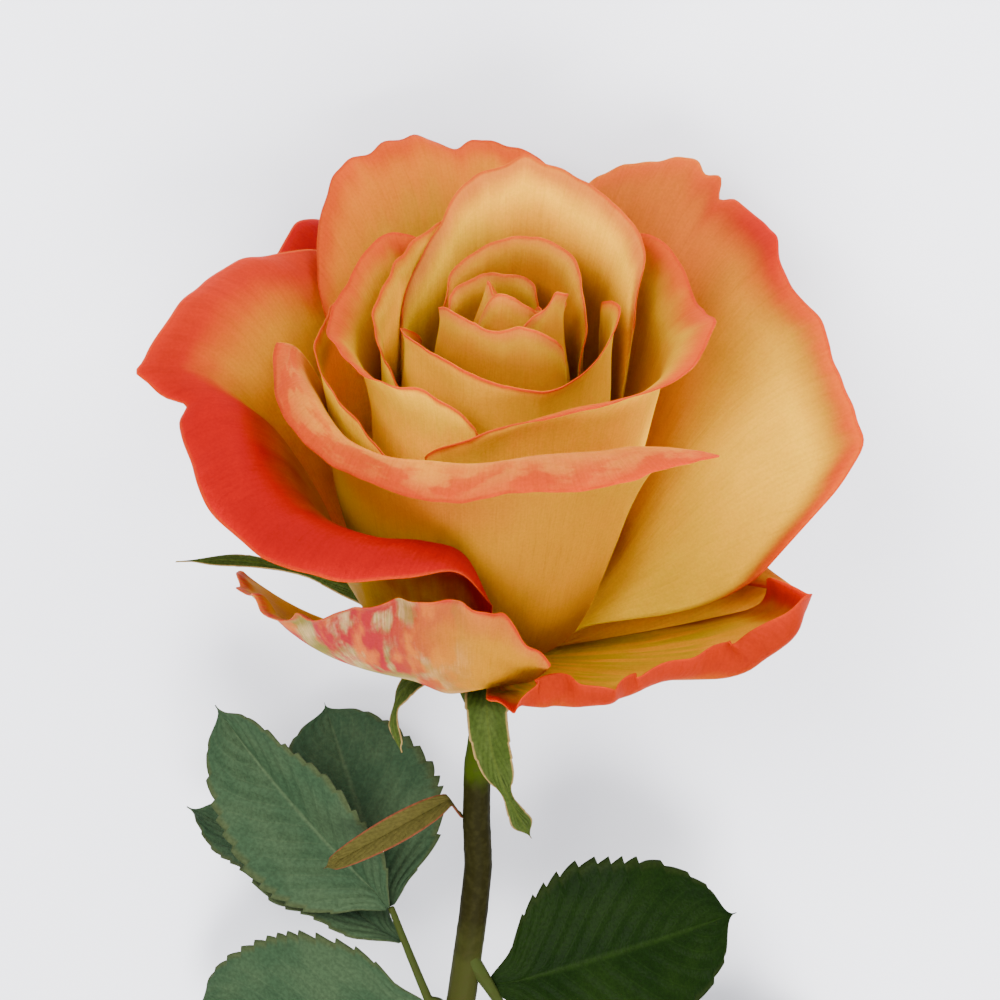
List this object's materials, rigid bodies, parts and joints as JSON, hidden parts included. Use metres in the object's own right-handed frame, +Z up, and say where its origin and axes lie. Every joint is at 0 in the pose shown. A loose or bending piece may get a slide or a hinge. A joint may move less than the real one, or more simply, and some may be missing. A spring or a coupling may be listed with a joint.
{
  "type": "cut rose",
  "caption": "Cut rose lying on its side: a half-open yellow bloom with red and pink petal rims, sepals, a prickly stem and compound leaves.",
  "frame": {"origin": "on the surface, below the middle of the box round the lying rose", "axes": "+Z up from the surface, +Y along the rose from the cut end of the stem towards the bloom, +X to its right seen from above"},
  "size_m": [0.1994, 0.4006, 0.0816],
  "materials": {
    "petal_inner": "matt, finely veined, deep yellow at the base and peach at the rim",
    "petal_outer": "matt, veined, yellow at the base and red at the rim",
    "petal_guard": "matt, streaked with green on the outside",
    "sepal": "matt green with a pale rim",
    "hip": "smooth green",
    "stem": "smooth green turning brown, satin",
    "rachis": "smooth green",
    "leaf": "satin dark green, veined"
  },
  "bodies": {
    "root": {"bract": "sepal", "hip": "hip", "leaf_lower_leaflet_base_left": "leaf", "leaf_lower_leaflet_base_right": "leaf", "leaf_lower_leaflet_end": "leaf", "leaf_lower_leaflet_left": "leaf", "leaf_lower_leaflet_right": "leaf", "leaf_lower_rachis": "rachis", "leaf_middle_leaflet_base_left": "leaf", "leaf_middle_leaflet_base_right": "leaf", "leaf_middle_leaflet_end": "leaf", "leaf_middle_leaflet_left": "leaf", "leaf_middle_leaflet_right": "leaf", "leaf_middle_rachis": "rachis", "leaf_upper_left_leaflet_base_left": "leaf", "leaf_upper_left_leaflet_end": "leaf", "leaf_upper_left_leaflet_left": "leaf", "leaf_upper_left_leaflet_right": "leaf", "leaf_upper_left_rachis": "rachis", "leaf_upper_right_leaflet_base_left": "leaf", "leaf_upper_right_leaflet_base_right": "leaf", "leaf_upper_right_leaflet_end": "leaf", "leaf_upper_right_leaflet_left": "leaf", "leaf_upper_right_leaflet_right": "leaf", "leaf_upper_right_rachis": "rachis", "petal_back_left": "petal_outer", "petal_front": "petal_outer", "petal_guard_back_left": "petal_guard", "petal_guard_back_right": "petal_guard", "petal_guard_lower_left": "petal_guard", "petal_guard_lower_right": "petal_guard", "petal_heart_1": "petal_inner", "petal_heart_2": "petal_inner", "petal_heart_3": "petal_inner", "petal_heart_4": "petal_inner", "petal_heart_5": "petal_inner", "petal_heart_6": "petal_inner", "petal_inner_back": "petal_inner", "petal_inner_front": "petal_inner", "petal_inner_left": "petal_inner", "petal_left": "petal_outer", "petal_middle_left": "petal_inner", "petal_middle_right": "petal_inner", "petal_middle_under": "petal_inner", "petal_outer_back": "petal_outer", "petal_outer_back_left": "petal_outer", "petal_right": "petal_outer", "sepal_back_left": "sepal", "sepal_back_right": "sepal", "sepal_front": "sepal", "sepal_left": "sepal", "sepal_right": "sepal", "stem": "stem"}
  },
  "joints": []
}
